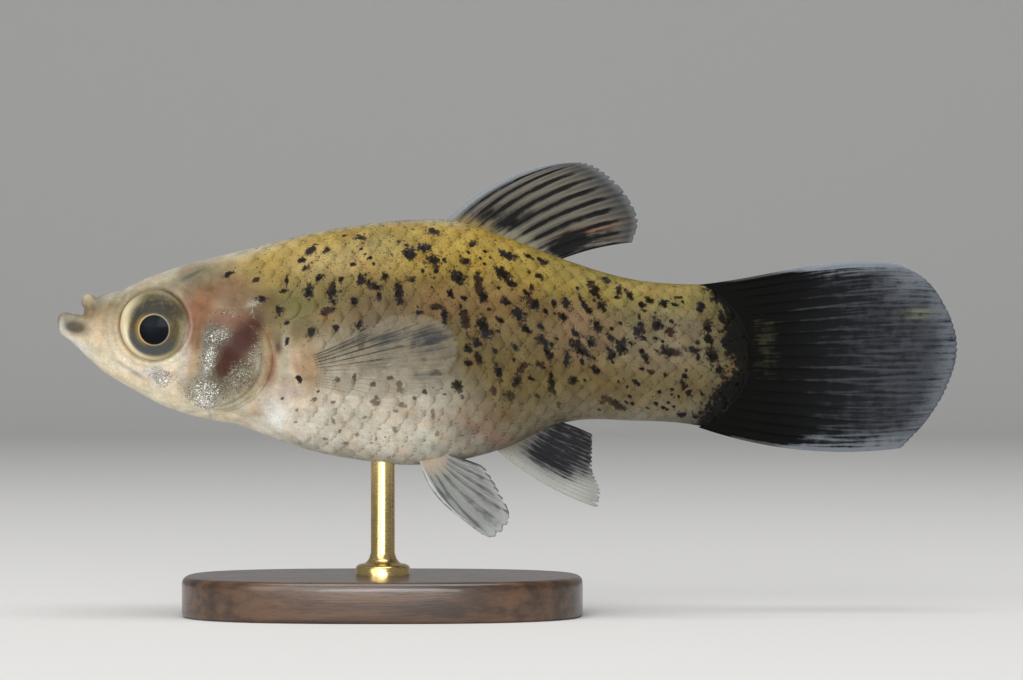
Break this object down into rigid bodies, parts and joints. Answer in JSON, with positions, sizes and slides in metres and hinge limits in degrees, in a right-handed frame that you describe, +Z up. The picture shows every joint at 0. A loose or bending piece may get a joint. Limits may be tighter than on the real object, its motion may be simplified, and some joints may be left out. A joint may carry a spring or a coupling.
{
  "type": "fish model",
  "caption": "Still female platyfish swimming level with its fins spread, held over a plain oval base by a short rod.",
  "frame": {"origin": "middle of the stand's underside", "axes": "+X towards the tail, +Z up, and the fish's left side on -Y"},
  "size_m": [0.0562, 0.017, 0.0284],
  "materials": {
    "flesh": "moist scaly skin, golden above and cream below, with black spots",
    "gill_cover": "silvery and maroon, glittering",
    "eye": "wet, clear over a dark pupil",
    "fin_membrane": "thin membrane over pale rays",
    "dark_fin": "thin membrane, black at its root and smoky towards its margin",
    "stand_wood": "dark, satin varnish",
    "stand_brass": "polished"
  },
  "bodies": {
    "root": {"head": "flesh", "lower_jaw": "flesh", "upper_jaw": "flesh", "torso_front": "flesh", "torso_rear": "flesh", "tail_stalk": "flesh", "gill_cover_left": "gill_cover", "gill_cover_right": "gill_cover", "eye_left": "eye", "eye_right": "eye", "dorsal_fin": "fin_membrane", "anal_fin": "fin_membrane", "pelvic_fin_left": "fin_membrane", "pelvic_fin_right": "fin_membrane", "pectoral_fin_left": "fin_membrane", "pectoral_fin_right": "fin_membrane", "tail_fin": "dark_fin", "stand_base": "stand_wood", "stand_rod": "stand_brass"}
  },
  "joints": []
}
